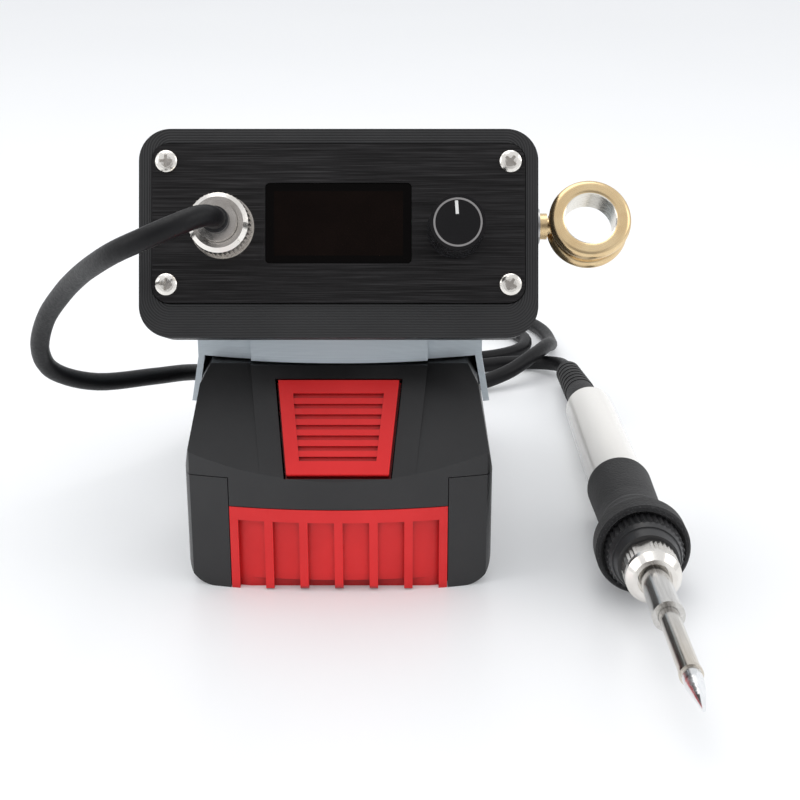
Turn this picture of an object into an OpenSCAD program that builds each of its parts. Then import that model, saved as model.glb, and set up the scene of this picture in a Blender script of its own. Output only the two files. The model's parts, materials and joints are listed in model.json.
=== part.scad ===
// Battery-powered soldering iron station. A power-tool battery pack stands on the bench, a printed
// adapter slides onto it and carries a tilted control box, and the iron lies beside them on its cord.
// Millimetres. The origin is the middle of the pack's flat underside: X right, Y back, Z up.

/* [Battery pack] */
// Width of the pack at the seam
pack_w = 76; // [74:1:92]
// Length of the pack, front to back
pack_l = 116; // [115:1:140]
// Height of the seam between the tub and the lid
tub_h = 29.5; // [28:0.5:35]
// Height of the lid's flat deck
pack_h = 53.4; // [52:0.2:62]
// How far each shoulder leans in between the seam and the deck
shoulder_in = 4.3; // [3.5:0.1:5]
// How far the front face leans back between the seam and the deck
face_run = 18; // [16:0.5:21]
// How far the middle of the front face stands ahead of its sides at the deck
facet_step = 1.6; // [0.8:0.1:2]
// Radius of the front's gentle bow, seen from above
bow_r = 140; // [110:5:180]
// Corner radius of the pack, seen from above
pack_corner_r = 10; // [8:0.5:12]
// Radius of the pack's lower edges
belly_r = 7; // [5:0.5:8]
// Radius of the pack's lower front and rear edges
toe_r = 2.6; // [2.4:0.1:4]
// Wall of the pack's two shells
shell_wall = 2.2; // [1.8:0.1:2.4]
// Width of the red bumper
bumper_w = 53.7; // [44:0.5:56]
// Height of the red bumper
bumper_h = 22; // [19:0.5:24]
// Upright ribs on the bumper
bumper_ribs = 7; // [5:1:9]
// Width of one rib
rib_w = 2.1; // [1.5:0.1:2.8]
// Depth of the pockets between the ribs
rib_depth = 1.8; // [1:0.1:2.4]
// Width of the release button at its upper edge
button_top_w = 29.8; // [24:0.5:33]
// Width of the release button at its lower edge
button_low_w = 24.8; // [20:0.5:28]
// Height of the release button, measured up the face
button_l = 24; // [20:0.5:24.5]
// Diameter of one battery cell
cell_d = 18.2; // [17.5:0.1:18.2]
// Length of one battery cell
cell_l = 65; // [60:1:65]

/* [Adapter] */
// Thickness of the plate over the battery deck
plate_t = 7.3; // [6.5:0.1:10]
// Wall of the adapter's skirts
skirt_wall = 1.6; // [1.4:0.1:3]
// How far the skirts reach below the battery deck
skirt_drop = 12; // [11:0.5:16]
// Depth of the slide rails
rail_depth = 3.2; // [2.6:0.1:3.6]
// Height of the slide rails
rail_h = 3.2; // [2.6:0.1:3.6]

/* [Control box] */
// Width of the control box
box_w = 94.4; // [92:0.2:114]
// Height of the control box, measured up its face
box_h = 49.4; // [48:0.5:60]
// Corner radius of the control box
box_r = 7.5; // [6:0.5:9]
// Lean of the face, back from upright
box_lean = 20; // [16:1:24]
// Wall of the control box
box_wall = 3; // [2.6:0.1:3.4]
// How far back the box reaches from the deck's front edge
box_reach = 44; // [42:1:60]
// Offset of the box to the right of the pack's middle
box_shift = 0.6; // [-1:0.1:1]
// Width of the front panel
panel_w = 88; // [82:0.5:88]
// Height of the front panel
panel_h = 37.6; // [36:0.2:38]
// Thickness of the front panel
panel_t = 2; // [1.5:0.1:2.5]
// Chin of the box below the panel
chin = 8.2; // [7:0.1:8.4]
// Distance of the panel screws, side to side
screw_span_x = 81.1; // [76:0.1:81.1]
// Distance of the panel screws, top to bottom
screw_span_z = 29; // [28:0.1:30]
// Width of the display window
window_w = 34.5; // [30:0.1:36]
// Height of the display window
window_h = 19; // [16:0.1:20]
// Distance of the knob from the middle
knob_x = 27.4; // [27:0.1:28]
// Distance of the socket from the middle
socket_x = 27.2; // [27:0.1:28]

/* [Knob and socket] */
// Diameter of the knob
knob_d = 12.4; // [11:0.1:14]
// Length of the knob
knob_l = 15; // [13:0.5:18]
// How far the knob can be pressed
knob_travel = 0.5; // [0.4:0.1:0.6]
// Diameter of the encoder's shaft
shaft_d = 6; // [5:0.5:6]
// Diameter of the plug's coupling ring
coupling_d = 14.2; // [13.8:0.1:15]
// Diameter of the socket's threaded barrel
barrel_d = 11.8; // [11:0.1:12]

/* [Iron holder] */
// Outer diameter of the brass ring's lips
ring_d = 20; // [18.6:0.1:21]
// Hole of the brass ring
ring_hole_d = 12.5; // [12:0.1:14]
// Length of the brass ring
ring_l = 9.6; // [9:0.1:11]
// Slope of the brass ring's hole, down towards the back
ring_slope = 33; // [20:1:45]
// Distance of the ring's stud behind the box's face
ring_back = 14.4; // [12:0.2:18]
// Height of the ring's stud above the box's lower edge
ring_up = 28; // [25:0.2:31]
// How far the stud sits behind the middle of the ring
ring_ahead = 1.4; // [0:0.1:1.6]

/* [Iron] */
// Diameter of the white handle at its rear end
handle_rear_d = 14.6; // [14:0.1:15]
// Diameter of the white handle where it meets the grip
handle_front_d = 15.3; // [15:0.1:16]
// Length of the white handle that shows
handle_l = 70; // [58:0.5:84]
// Diameter of the grip
grip_d = 17.5; // [17:0.1:20]
// Length of the grip, its guard included
grip_l = 45.6; // [42:0.2:60]
// Diameter of the grip's guard
guard_d = 23.4; // [22.4:0.1:28]
// Diameter of the clamping nut
nut_d = 13.6; // [13:0.1:14.4]
// Diameter of the sleeve around the tip
sleeve_d = 7.1; // [6.6:0.1:7.6]
// Diameter of the tip's shaft
tip_d = 4.8; // [4.4:0.1:5.2]
// Length of the tip's shaft ahead of the sleeve
tip_reach = 28; // [20:0.5:40]
// Length of the tinned end
bit_l = 14; // [10:0.5:18]

/* [Cord] */
// Diameter of the cord
cord_d = 5; // [4.5:0.1:5.2]

/* [Hidden] */
$fn = 64;
eps = 0.01;
big = 400;
slide_gap = 0.4;
deck_gap = 0.5;
fit_gap = 0.05;
part_gap = 0.25;
seam_gap = 0.2;

// Battery pack, derived
front_y = -pack_l / 2;
bow_y = front_y + bow_r;
face_lean = atan(face_run / (pack_h - tub_h));
side_lean = atan(shoulder_in / (pack_h - tub_h));
face_l = (pack_h - tub_h) / cos(face_lean);
crease_top = button_top_w / 2 + 7.1;
crease_low = button_low_w / 2 + 6.3;
shoulder_bevel = [1.7, 4.2];
bumper_t = 6;
bumper_band = 3.4;
bumper_toe = 2.4;
tongue_t = 3.2;
scoop_r = 17;
scoop_drop = 5.4;
scoop_tilt = 10;
cell_pitch = cell_d + 0.4;
cell_rows = 5;
cell_floor = shell_wall + 0.8;
cell_z = [cell_floor + cell_d / 2, cell_floor + cell_d / 2 + cell_pitch];
pack_screw_x = pack_w / 2 - 7;
pack_screw_y = pack_l / 2 - 7;
pack_boss_r = 3.8;
pack_head_r = 2.5;
pack_head_z = 22;
pack_screw_top = tub_h + 3.2;
button_low = 1.6;
button_proud = 1.3;
button_back = 3.2;
button_flange = 1.2;
button_frame = 3.4;
button_pocket = 1.1;
button_bars = 6;
bar_w = 1.5;
leaf_t = 1.2;
leaf_w = 20;
leaf_depth = button_back + 0.4;
hook_w = 12;
hook_t = 3;
hook_y = front_y + face_run + 6;
hook_rise = 3;
arm_z = pack_h - shell_wall - 3.2;
slot_x = [-18, -6, 6, 18];
slot_w = 2.4;
slot_y = 24;
slot_depth = 6;
blade_t = 0.8;
blade_y = 31;
blade_l = 14;
clip_t = 0.6;
clip_gap = 0.15;

// Adapter, derived
skirt_z = pack_h - skirt_drop;
plate_z = pack_h + deck_gap;
adapter_top = plate_z + plate_t;
adapter_rear = pack_l / 2 + slide_gap + skirt_wall;
deck_front = front_y + face_run;
skirt_front = deck_front + 4;
rail_z = pack_h - 8.4;
rail_front = deck_front + 10;
carrier_w = 48;
carrier_l = 22;
carrier_y = blade_y + blade_l / 2;
carrier_h = 3;
cover_t = 1.6;
channel_w = 14;
channel_y = -14;
duct_h = 3;
duct_z = adapter_top - 1.4 - duct_h;
foot_x = 28;
foot_y = [deck_front + 13, deck_front + 36];
foot_r = 1.5;
foot_head_r = 2.75;
foot_head_h = 2;
foot_screw_top = adapter_top + 6;
cover_screw_x = carrier_w / 2 + 5;

// Control box, derived
box_front_y = front_y + 3;
box_front_z = adapter_top + 4;
box_rear = deck_front + box_reach;
panel_zc = chin + panel_h / 2;
panel_r = 4;
panel_front = -0.8;
panel_back = panel_front + panel_t;
ledge = panel_back + 2;
opening_w = panel_w - 6;
opening_h = panel_h - 6;
boss_r = 4.2;
boss_l = 16;
screw_r = 1.5;
screw_head_r = 2.65;
screw_head_h = 1.5;
cross_w = 0.7;
cross_l = 3;
window_r = 1;
board_y = 8.4;
board_t = 1.6;
board_x = [-17, 36];
board_h = 30;
wire_d = 1.8;

// Knob and socket, derived
knob_z = panel_zc - 2.2;
socket_z = panel_zc - 1.1;
encoder_w = 12.5;
encoder_front = panel_back + part_gap;
bushing_r = 3.5;
bushing_front = panel_front - 4;
knob_back = bushing_front - 0.8 - knob_travel;
knob_front = knob_back - knob_l;
rotor_r = 4.6;
rotor_t = 2;
pointer_w = 0.7;
barrel_front = panel_front - 8;
coupling_back = panel_front - 2.4;
coupling_l = 9;
coupling_front = coupling_back - coupling_l;
collar_d = 9.3;
collar_l = 3.4;
gland_d = 7;
gland_l = 2;
plug_end = coupling_front - collar_l - gland_l;

// Iron holder, derived
ring_gap = 3.4;
ring_x = box_w / 2 + ring_gap + ring_d / 2;
stud_r = 2;
neck_r = 3.2;
washer_r = 4.3;
washer_t = 1.4;
lip_r = 1.5;

// Iron, derived: stations run from the handle's rear end towards the tip
iron_x = 74.8;
iron_y = 56;
teeth_r = guard_d / 2 - 2.1;
grip_end = handle_l + grip_l;
collar_end = grip_end + 8.2;
nut_back = collar_end + 0.3;
nut_l = 9.3;
nut_end = nut_back + nut_l;
sleeve_end = nut_end + 19.4;
shaft_end = sleeve_end + tip_reach;
bit_end = shaft_end + bit_l;
core_r = 6.9;
handle_wall = 1.6;
iron_z = handle_rear_d / 2 + 0.02;
iron_pitch = asin((guard_d / 2 - handle_rear_d / 2) / (grip_end - 6));
boot_l = 42;
boot_yaw = 3.5;
boot_root_r = 5.6;
boot_end_r = 3.7;
boot_ribs = 7;

// Cord: where it lies, from the plug to the boot. The two ends come from the plug and the boot.
plug_face = box_point(-socket_x, plug_end, socket_z);
plug_way = [0, -cos(box_lean), sin(box_lean)];
boot_face = iron_point(boot_at(-boot_l));
boot_way = iron_point(boot_at(-boot_l)) - iron_point(boot_at(-boot_l + 1));
cord_lay = [
    [-28.7, -71.7, 98.3], [-33.4, -76.3, 97.4], [-40.1, -78, 94.8], [-47.1, -74.1, 91],
    [-53.4, -65, 86], [-60.3, -51.4, 79.4], [-67.9, -37.2, 71], [-75.7, -24, 60.4], [-80.4, -13, 48.6],
    [-79, -4, 39.5], [-70, 8, 32.5], [-57, 24.5, 28.5], [-49, 40, 24.5], [-43, 56.5, 18.5],
    [-35, 72, 10.5], [-21, 84, 4.5], [-2, 89.5, 2.5], [20, 90, 2.5], [38, 91.5, 2.5], [51, 96.5, 5],
    [60.5, 105, 8.2], [67, 118, 8.2], [70, 136, 3.5], [67.5, 158, 2.5], [55, 177, 2.5], [33, 184, 2.5],
    [10, 179, 2.5], [-5, 164, 2.5], [-6.5, 145, 2.5], [5, 130, 2.5], [24, 122, 2.5], [43, 120.8, 2.5],
    [57.5, 129.5, 2.5], [61, 144, 2.5], [52, 158, 2.5], [34, 163, 2.5], [15, 155, 2.7],
    [6.5, 139.7, 5], [10.2, 125.1, 8.4], [23, 116.2, 5], [40, 113, 2.5], [52, 115.2, 2.5],
    [62.7, 115.2, 2.8], [70, 108.2, 4.5]
];
cord_route = concat([plug_face, plug_face + 4.5 * plug_way], cord_lay,
    [boot_face + 3.5 * boot_way, boot_face]);
cord_sides = 8;

// ---------- Shared shapes ----------

module rounded_plate(w, l, r) {
    square([w - 2 * r, l], center = true);
    square([w, l - 2 * r], center = true);
    for (x = [-1, 1], y = [-1, 1]) translate([x * (w / 2 - r), y * (l / 2 - r)]) circle(r);
}

module block(low, high) {
    translate(low) cube(high - low);
}

module knurled(r, depth, teeth, h) {
    linear_extrude(h)
        polygon([for (i = [0 : 2 * teeth - 1])
            (r - (i % 2) * depth) * [cos(180 * i / teeth), sin(180 * i / teeth)]]);
}

// An outline extruded from y0 to y1, with its own x and y as X and Z
module along_y(y0, y1) {
    translate([0, y1, 0]) rotate([90, 0, 0]) linear_extrude(y1 - y0) children();
}

// A round bar along Y from y0 to y1
module bar_y(r, y0, y1) {
    translate([0, y1, 0]) rotate([90, 0, 0]) cylinder(r = r, h = y1 - y0);
}

// An eight-sided wire between two points, reaching half its thickness past each
module wire(a, b, d) {
    v = b - a;
    translate(a) rotate([0, acos(v.z / norm(v)), atan2(v.y, v.x)])
        translate([0, 0, -d / 2]) cylinder(d = d, h = norm(v) + d, $fn = 8);
}

// ---------- Frames ----------

// The front face of the pack: x across, y up the slope, z outwards, from the middle of its lower edge
module on_face() {
    translate([0, front_y, tub_h]) rotate([90 - face_lean, 0, 0]) children();
}

// The control box: x across, y into the box, z up its face, from the middle of its lower front edge
module on_box() {
    translate([box_shift, box_front_y, box_front_z]) rotate([-box_lean, 0, 0]) children();
}

function box_point(x, y, z) = [
    box_shift + x,
    box_front_y + y * cos(box_lean) + z * sin(box_lean),
    box_front_z - y * sin(box_lean) + z * cos(box_lean)
];

// The iron: z along its axis towards the tip, y up, from the middle of the handle's rear end
module on_iron() {
    translate([iron_x, iron_y, iron_z]) rotate([90 - iron_pitch, 0, 0]) children();
}

function iron_point(p) = [
    iron_x + p.x,
    iron_y + p.y * sin(iron_pitch) - p.z * cos(iron_pitch),
    iron_z + p.y * cos(iron_pitch) + p.z * sin(iron_pitch)
];

function boot_at(s) = [s * sin(boot_yaw), 0, s * cos(boot_yaw)];

// ---------- Battery pack ----------

// Half the pack's width at height z, drawn in by t
function pack_half(z, t) = z <= tub_h - t * tan(side_lean / 2)
    ? pack_w / 2 - t
    : pack_w / 2 - (z - tub_h) * tan(side_lean) - t / cos(side_lean);

// The front face's place at height z, drawn in by t, for a face that runs back by run
function face_y(z, t, run) = let (lean = atan(run / (pack_h - tub_h)))
    front_y + (z - tub_h) * tan(lean) + t / cos(lean);

module pack_plan(t) {
    intersection() {
        rounded_plate(pack_w - 2 * t, pack_l - 2 * t, pack_corner_r - t);
        translate([0, bow_y]) circle(bow_r - t, $fn = 360);
    }
}

// Seen from the front: straight sides, leaning shoulders, bevelled at the deck, and rounded lower edges
module pack_section(t) {
    seam = tub_h - t * tan(side_lean / 2);
    half = pack_w / 2 - t;
    top = pack_half(pack_h - t, t) - shoulder_bevel.x;
    bevel_z = pack_h - shoulder_bevel.y;
    bevel = pack_half(bevel_z, t);
    r = belly_r - t;
    intersection() {
        polygon([
            [-half, t], [half, t], [half, seam], [bevel, bevel_z], [top, pack_h - t],
            [-top, pack_h - t], [-bevel, bevel_z], [-half, seam]
        ]);
        union() {
            translate([-half, t + r]) square([2 * half, pack_h]);
            translate([-half + r, t]) square([2 * (half - r), pack_h]);
            for (x = [-1, 1]) translate([x * (half - r), t + r]) circle(r);
        }
    }
}

// Seen from the side, with a front face that runs back by run
module pack_profile(t, run) {
    lean = atan(run / (pack_h - tub_h));
    front = front_y + t;
    rear = -front_y - t;
    r = toe_r - t;
    intersection() {
        polygon([
            [front, t], [rear, t], [rear, pack_h - t], [face_y(pack_h - t, t, run), pack_h - t],
            [front, tub_h - t * tan(lean / 2)]
        ]);
        union() {
            translate([front, t + r]) square([rear - front, pack_h]);
            translate([front + r, t]) square([rear - front - 2 * r, pack_h]);
            for (y = [front + r, rear - r]) translate([y, t + r]) circle(r);
        }
    }
}

// The whole pack drawn in by t: its middle stands ahead of its sides between two creases
module pack_block(t) {
    intersection() {
        linear_extrude(pack_h) pack_plan(t);
        rotate([90, 0, 0]) linear_extrude(2 * pack_l, center = true) pack_section(t);
        union() {
            rotate([90, 0, 90]) linear_extrude(2 * pack_w, center = true)
                pack_profile(t, face_run + facet_step);
            intersection() {
                rotate([90, 0, 90]) linear_extrude(2 * pack_w, center = true) pack_profile(t, face_run);
                rotate([90, 0, 0]) linear_extrude(2 * pack_l, center = true)
                    polygon([
                        [-crease_low + t, 0], [crease_low - t, 0], [crease_low - t, tub_h],
                        [crease_top - t, pack_h], [-crease_top + t, pack_h], [-crease_low + t, tub_h]
                    ]);
            }
        }
    }
}

module at_pack_screws() {
    for (x = [-1, 1], y = [-1, 1]) translate([x * pack_screw_x, y * pack_screw_y, 0]) children();
}

// The room in the tub's front that the bumper and the lid's tongue fill
module front_window(gap, z0, z1, depth) {
    block([-bumper_w / 2 - gap, front_y - 1, z0], [bumper_w / 2 + gap, front_y + depth + gap, z1]);
}

module pack_tub() {
    color([0.1, 0.1, 0.11]) difference() {
        union() {
            difference() {
                pack_block(0);
                pack_block(shell_wall);
            }
            intersection() {
                pack_block(0);
                union() {
                    front_window(shell_wall, 0, tub_h, bumper_t);
                    at_pack_screws() cylinder(r = pack_boss_r, h = tub_h);
                }
            }
        }
        block([-big, -big, tub_h], [big, big, big]);
        front_window(seam_gap, -1, tub_h + 1, bumper_t);
        at_pack_screws() {
            translate([0, 0, -1]) cylinder(r = pack_head_r + part_gap, h = pack_head_z + 1);
            cylinder(r = 1.6, h = tub_h + 1);
        }
        for (x = [-1, 1])
            translate([x * (pack_w / 2 - 1), front_y + 14, tub_h / 2 + 4]) rotate([0, x * 90, 0])
                cylinder(d = 6, h = 2);
    }
}

module pack_lid() {
    color([0.11, 0.11, 0.12]) difference() {
        union() {
            difference() {
                pack_block(0);
                difference() {
                    pack_block(shell_wall);
                    rail_core();
                }
                block([-big, -big, -1], [big, big, tub_h + seam_gap]);
            }
            lid_tongue();
            intersection() {
                pack_block(0);
                at_pack_screws() translate([0, 0, tub_h + seam_gap])
                    cylinder(r = pack_boss_r, h = pack_screw_top + 1.5 - tub_h);
            }
        }
        scoop();
        button_opening();
        rail_grooves(slide_gap);
        block([-hook_w / 2 - 0.6, hook_y - 0.6, pack_h - 2 * shell_wall],
            [hook_w / 2 + 0.6, hook_y + hook_t + 3, pack_h + 1]);
        for (x = slot_x)
            block([x - slot_w / 2, slot_y, pack_h - slot_depth], [x + slot_w / 2, pack_l, pack_h + 1]);
        at_pack_screws() translate([0, 0, tub_h]) cylinder(r = 1.35, h = pack_screw_top + 0.4 - tub_h);
    }
}

// Solid shoulders inside the lid that the rail grooves are cut in
module rail_core() {
    inner = pack_half(rail_z + rail_h, 0) - rail_depth - slide_gap - shell_wall;
    for (x = [-1, 1])
        translate([x * (inner + pack_w / 2) , 0, 0])
            block([-pack_w / 2, rail_front - 4, rail_z - shell_wall], [pack_w / 2, pack_l, pack_h]);
}

module rail_grooves(gap) {
    for (x = [-1, 1]) {
        tip = pack_half(rail_z + rail_h, 0) - rail_depth;
        translate([x * (tip + pack_w / 2), 0, 0])
            block([-pack_w / 2 - gap, rail_front - gap, rail_z - gap],
                [pack_w / 2, pack_l, rail_z + rail_h + gap]);
    }
}

// The lid's front reaches down over the tub to the bumper
module lid_tongue() {
    intersection() {
        difference() {
            pack_block(0);
            pack_block(tongue_t);
        }
        front_window(0, bumper_h + seam_gap, tub_h + 1, bumper_t - 1);
    }
}

// Thumb scoop under the release button
module scoop() {
    translate([0, front_y + 1.4, tub_h + scoop_r - scoop_drop]) rotate([90 - scoop_tilt, 0, 0])
        cylinder(r = scoop_r, h = 10);
}

module button_plan(grow) {
    low = button_low - grow;
    high = button_low + button_l + grow;
    slant = (button_top_w - button_low_w) / 2 / button_l;
    polygon([
        [-button_low_w / 2 - grow + slant * grow, low], [button_low_w / 2 + grow - slant * grow, low],
        [button_top_w / 2 + grow + slant * grow, high], [-button_top_w / 2 - grow - slant * grow, high]
    ]);
}

module button_opening() {
    on_face() translate([0, 0, -2 * shell_wall]) linear_extrude(4 * shell_wall) button_plan(0.8);
}

module release_button() {
    inner_low = button_low + button_frame;
    inner_high = button_low + button_l - button_frame;
    pitch = (inner_high - inner_low) / (button_bars + 0.4);
    color([0.85, 0.09, 0.08]) on_face() difference() {
        union() {
            translate([0, 0, -button_back]) linear_extrude(button_back + button_proud) button_plan(0);
            translate([0, 0, -button_back]) linear_extrude(0.8) button_plan(button_flange * 0.4);
        }
        difference() {
            translate([0, 0, button_proud - button_pocket]) linear_extrude(button_pocket + 1)
                button_plan(-button_frame);
            for (i = [1 : button_bars])
                translate([-button_top_w / 2, inner_low + (i - 0.3) * pitch - bar_w / 2, 0])
                    cube([button_top_w, bar_w, button_proud - 0.2]);
        }
    }
}

// Springy tongue behind the button that ends in the latch's hook
module latch_leaf() {
    color([0.25, 0.25, 0.26]) {
        intersection() {
            on_face() block([-leaf_w / 2, 4, -leaf_depth - leaf_t], [leaf_w / 2, face_l, -leaf_depth]);
            block([-big, -big, 0], [big, big, arm_z + leaf_t]);
        }
        block([-hook_w / 2, face_y(arm_z, leaf_depth, face_run), arm_z],
            [hook_w / 2, hook_y + hook_t, arm_z + leaf_t]);
        block([-hook_w / 2, hook_y, arm_z], [hook_w / 2, hook_y + hook_t, pack_h + hook_rise]);
    }
}

module bumper() {
    pitch = (bumper_w - rib_w) / (bumper_ribs - 1);
    color([0.8, 0.1, 0.09]) difference() {
        intersection() {
            pack_block(0);
            front_window(0, 0, bumper_h, bumper_t);
        }
        for (i = [0 : bumper_ribs - 2]) {
            x = -bumper_w / 2 + rib_w + i * pitch;
            intersection() {
                block([x, -big, -1], [x + pitch - rib_w, 0, bumper_h - bumper_band]);
                translate([0, bow_y, -1]) difference() {
                    cylinder(r = bow_r + 5, h = bumper_h + 1, $fn = 360);
                    translate([0, 0, -1]) cylinder(r = bow_r - rib_depth, h = bumper_h + 3, $fn = 360);
                }
            }
            block([x, front_y - 1, -1], [x + pitch - rib_w, front_y + 2 * rib_depth, bumper_toe]);
        }
    }
}

module pack_screws() {
    color([0.5, 0.5, 0.52]) at_pack_screws() {
        translate([0, 0, pack_head_z - 2]) difference() {
            cylinder(r = pack_head_r, h = 2);
            translate([0, 0, -1]) cylinder(r = 1.1, h = 2, $fn = 6);
        }
        translate([0, 0, pack_head_z]) cylinder(r = 1.3, h = pack_screw_top - pack_head_z);
    }
}

module at_cells() {
    for (z = cell_z, i = [0 : cell_rows - 1])
        translate([0, (i - (cell_rows - 1) / 2) * cell_pitch, z]) children();
}

module cells() {
    color([0.15, 0.5, 0.35]) at_cells() rotate([0, 90, 0]) cylinder(d = cell_d, h = cell_l, center = true);
}

// Nickel strips that join the cells' ends
module cell_links() {
    span = (cell_rows - 1) * cell_pitch + 8;
    color([0.75, 0.74, 0.72]) for (x = [-1, 1], z = cell_z)
        translate([x * (cell_l / 2 + 0.15), 0, z]) cube([0.3, span, 6], center = true);
}

// Two plastic combs that hold the cells apart
module cell_frame() {
    color([0.2, 0.2, 0.22]) for (x = [-1, 1]) translate([x * (cell_l / 2 - 6), 0, 0]) difference() {
        translate([0, 0, cell_floor + cell_pitch / 2 + cell_d / 2])
            cube([3, cell_rows * cell_pitch - 1, cell_pitch + 2], center = true);
        at_cells() rotate([0, 90, 0]) cylinder(d = cell_d + 2 * fit_gap, h = 10, center = true);
    }
}

module pack_board() {
    color([0.1, 0.3, 0.15]) block([-23, 0, pack_h - 10.6], [23, pack_l / 2 - 8, pack_h - 9.4]);
}

// Sprung forks that take the adapter's blades
module terminal_clips() {
    inside = blade_t / 2 + clip_gap;
    outside = inside + clip_t;
    front = blade_y - 2;
    rear = blade_y + blade_l + 2;
    foot = pack_h - 9.4;
    color([0.8, 0.66, 0.4]) for (x = slot_x) translate([x, 0, 0]) {
        block([-outside, front, foot], [-inside, rear, pack_h - 1]);
        block([inside, front, foot], [outside, rear, pack_h - 1]);
        block([-outside, front, foot], [outside, rear, foot + clip_t]);
    }
}

// ---------- Adapter ----------

// The adapter seen from the front, grown by t from the pack's sides, up to height top
module adapter_section(t, low, top) {
    polygon([
        [-pack_half(low, -t), low], [pack_half(low, -t), low], [pack_half(pack_h, -t), pack_h],
        [pack_half(pack_h, -t), top], [-pack_half(pack_h, -t), top], [-pack_half(pack_h, -t), pack_h]
    ]);
}

module adapter_plan(step) {
    length = adapter_rear - deck_front - step;
    width = 2 * pack_half(skirt_z, -slide_gap - skirt_wall);
    intersection() {
        translate([0, deck_front + step + length / 2]) rounded_plate(width, length, 3);
        translate([0, bow_y]) circle(bow_r - face_run - step, $fn = 360);
    }
}

module adapter_outer() {
    intersection() {
        translate([0, 0, skirt_z]) linear_extrude(adapter_top - skirt_z) adapter_plan(facet_step);
        along_y(-pack_l, pack_l) adapter_section(slide_gap + skirt_wall, skirt_z, adapter_top);
    }
    intersection() {
        translate([0, 0, plate_z]) linear_extrude(plate_t) adapter_plan(0);
        block([-crease_top, -pack_l, plate_z], [crease_top, 0, adapter_top]);
    }
}

module at_feet() {
    for (x = [-1, 1], y = foot_y) translate([x * foot_x, y, 0]) children();
}

module at_cover_screws() {
    for (x = [-1, 1]) translate([x * cover_screw_x, carrier_y, 0]) children();
}

module adapter() {
    color([0.62, 0.68, 0.72]) difference() {
        union() {
            difference() {
                adapter_outer();
                along_y(-pack_l, pack_l / 2 + slide_gap)
                    adapter_section(slide_gap, tub_h, plate_z);
                block([-big, -big, 0], [big, skirt_front, plate_z]);
            }
            intersection() {
                adapter_outer();
                difference() {
                    rail_grooves(0);
                    block([-big, pack_l / 2, 0], [big, big, big]);
                }
            }
        }
        block([-hook_w / 2 - 0.5, hook_y - 0.2, plate_z - 1],
            [hook_w / 2 + 0.5, hook_y + hook_t + 3, plate_z + hook_rise]);
        contact_pocket(part_gap);
        for (x = slot_x) translate([x, blade_y, 0])
            block([-blade_t, -0.3, plate_z - 1], [blade_t, blade_l + 0.3, adapter_top]);
        block([-channel_w / 2, channel_y, duct_z], [channel_w / 2, carrier_y, duct_z + duct_h]);
        translate([0, channel_y, duct_z]) block([-channel_w / 2, 0, 0], [channel_w / 2, 10, 2 * duct_h]);
        at_feet() {
            translate([0, 0, plate_z - 1]) cylinder(r = foot_head_r + part_gap, h = 1.5 + foot_head_h);
            cylinder(r = foot_r + fit_gap, h = adapter_top + 1);
        }
        at_cover_screws() translate([0, 0, adapter_top - 5]) cylinder(r = 0.9, h = 6);
    }
}

// The pocket in the plate's top for the contacts and their lid
module contact_pocket(gap) {
    block([-carrier_w / 2 - gap, carrier_y - carrier_l / 2 - gap, adapter_top - carrier_h - cover_t],
        [carrier_w / 2 + gap, carrier_y + carrier_l / 2 + gap, adapter_top + 1]);
    block([-carrier_w / 2 - 8 - gap, carrier_y - carrier_l / 2 - gap, adapter_top - cover_t],
        [carrier_w / 2 + 8 + gap, carrier_y + carrier_l / 2 + gap, adapter_top + 1]);
}

module contact_carrier() {
    color([0.12, 0.12, 0.12]) difference() {
        block([-carrier_w / 2, carrier_y - carrier_l / 2, adapter_top - carrier_h - cover_t],
            [carrier_w / 2, carrier_y + carrier_l / 2, adapter_top - cover_t - 0.1]);
        for (x = slot_x)
            block([x - blade_t / 2 - fit_gap, blade_y - fit_gap, 0],
                [x + blade_t / 2 + fit_gap, blade_y + blade_l + fit_gap, big]);
    }
}

module contact_blades() {
    color([0.82, 0.7, 0.45]) for (x = slot_x)
        block([x - blade_t / 2, blade_y, pack_h - slot_depth + 1],
            [x + blade_t / 2, blade_y + blade_l, adapter_top - cover_t - 0.2]);
}

module contact_cover() {
    color([0.6, 0.66, 0.7]) difference() {
        block([-carrier_w / 2 - 8, carrier_y - carrier_l / 2, adapter_top - cover_t],
            [carrier_w / 2 + 8, carrier_y + carrier_l / 2, adapter_top]);
        at_cover_screws() translate([0, 0, adapter_top - 5]) cylinder(r = 1.2, h = 10);
    }
}

module cross_recess(depth) {
    for (a = [0, 90]) rotate([0, 0, a])
        translate([-cross_l / 2, -cross_w / 2, -depth]) cube([cross_l, cross_w, depth + 1]);
}

module cover_screws() {
    color([0.75, 0.75, 0.76]) at_cover_screws() {
        translate([0, 0, adapter_top + 0.05]) difference() {
            cylinder(r = 2, h = 1.2);
            translate([0, 0, 1.2]) scale(0.7) cross_recess(0.9);
        }
        translate([0, 0, adapter_top - 4.5]) cylinder(r = 0.85, h = 4.6);
    }
}

module foot_screws() {
    color([0.3, 0.3, 0.32]) at_feet() {
        translate([0, 0, plate_z + 0.4]) difference() {
            cylinder(r = foot_head_r, h = foot_head_h);
            translate([0, 0, -1]) cylinder(r = 1.2, h = 2, $fn = 6);
        }
        translate([0, 0, plate_z + 0.4]) cylinder(r = foot_r, h = foot_screw_top - plate_z - 0.4);
    }
}

// ---------- Control box ----------

// The box's outside drawn in by t, from depth y0 behind its face
module box_block(t, y0) {
    intersection() {
        on_box() translate([0, 0, box_h / 2]) along_y(y0, big)
            rounded_plate(box_w - 2 * t, box_h - 2 * t, box_r - t);
        block([-big, -big, adapter_top + t], [big, box_rear - t, big]);
    }
}

function panel_screw_at(i) = [
    (i < 2 ? -1 : 1) * screw_span_x / 2,
    panel_front,
    panel_zc + (i % 2 == 0 ? -1 : 1) * screw_span_z / 2
];

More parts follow.
